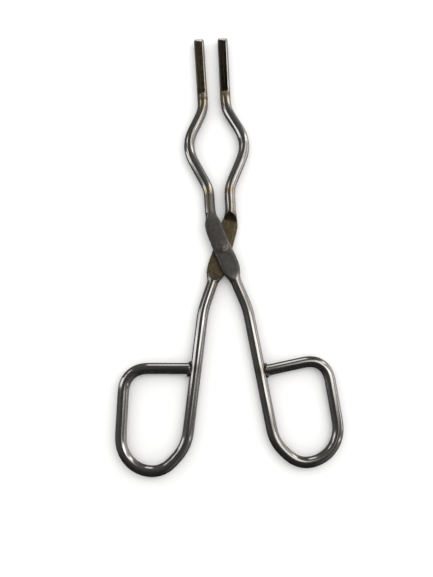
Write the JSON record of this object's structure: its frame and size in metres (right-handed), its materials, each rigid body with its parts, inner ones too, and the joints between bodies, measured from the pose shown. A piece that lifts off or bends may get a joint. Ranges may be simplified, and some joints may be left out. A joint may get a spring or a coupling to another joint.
{
  "type": "crucible tongs",
  "caption": "Scissor-type crucible tongs: two bent steel rods riveted at a half-lap, with straight jaws, a bow for the crucible and closed finger rings.",
  "frame": {"origin": "on the rivet's axis, at the back face of the rear lap, which is the plane the tongs rest on", "axes": "+Y from the rivet to the jaw tips along the middle line of the jaws, +X to the right seen from the front, +Z out of the front face, along the rivet to its head"},
  "size_m": [0.098, 0.2014, 0.0057],
  "materials": {
    "front_rod_steel": "polished rod with drawn streaks, straw heat tint at the bends, dull grey pressed lap",
    "rear_rod_steel": "polished rod with drawn streaks, brown heat tint on the lap, tip and bends",
    "rivet_steel": "hammered, blotchy dull grey",
    "weld_metal": "dark scaled weld metal with a bright fresh spot"
  },
  "bodies": {
    "rear_half": {"rear_arm": "rear_rod_steel", "rear_ring_weld": "weld_metal", "pivot_rivet": "rivet_steel"},
    "front_half": {"front_arm": "front_rod_steel", "front_ring_weld": "weld_metal"}
  },
  "joints": [
    {"name": "pivot", "type": "hinge", "parent": "rear_half", "child": "front_half", "pos_m": [0, 0, 0], "axis": [0, 0, 1], "range_deg": [-3.6, 105]}
  ]
}
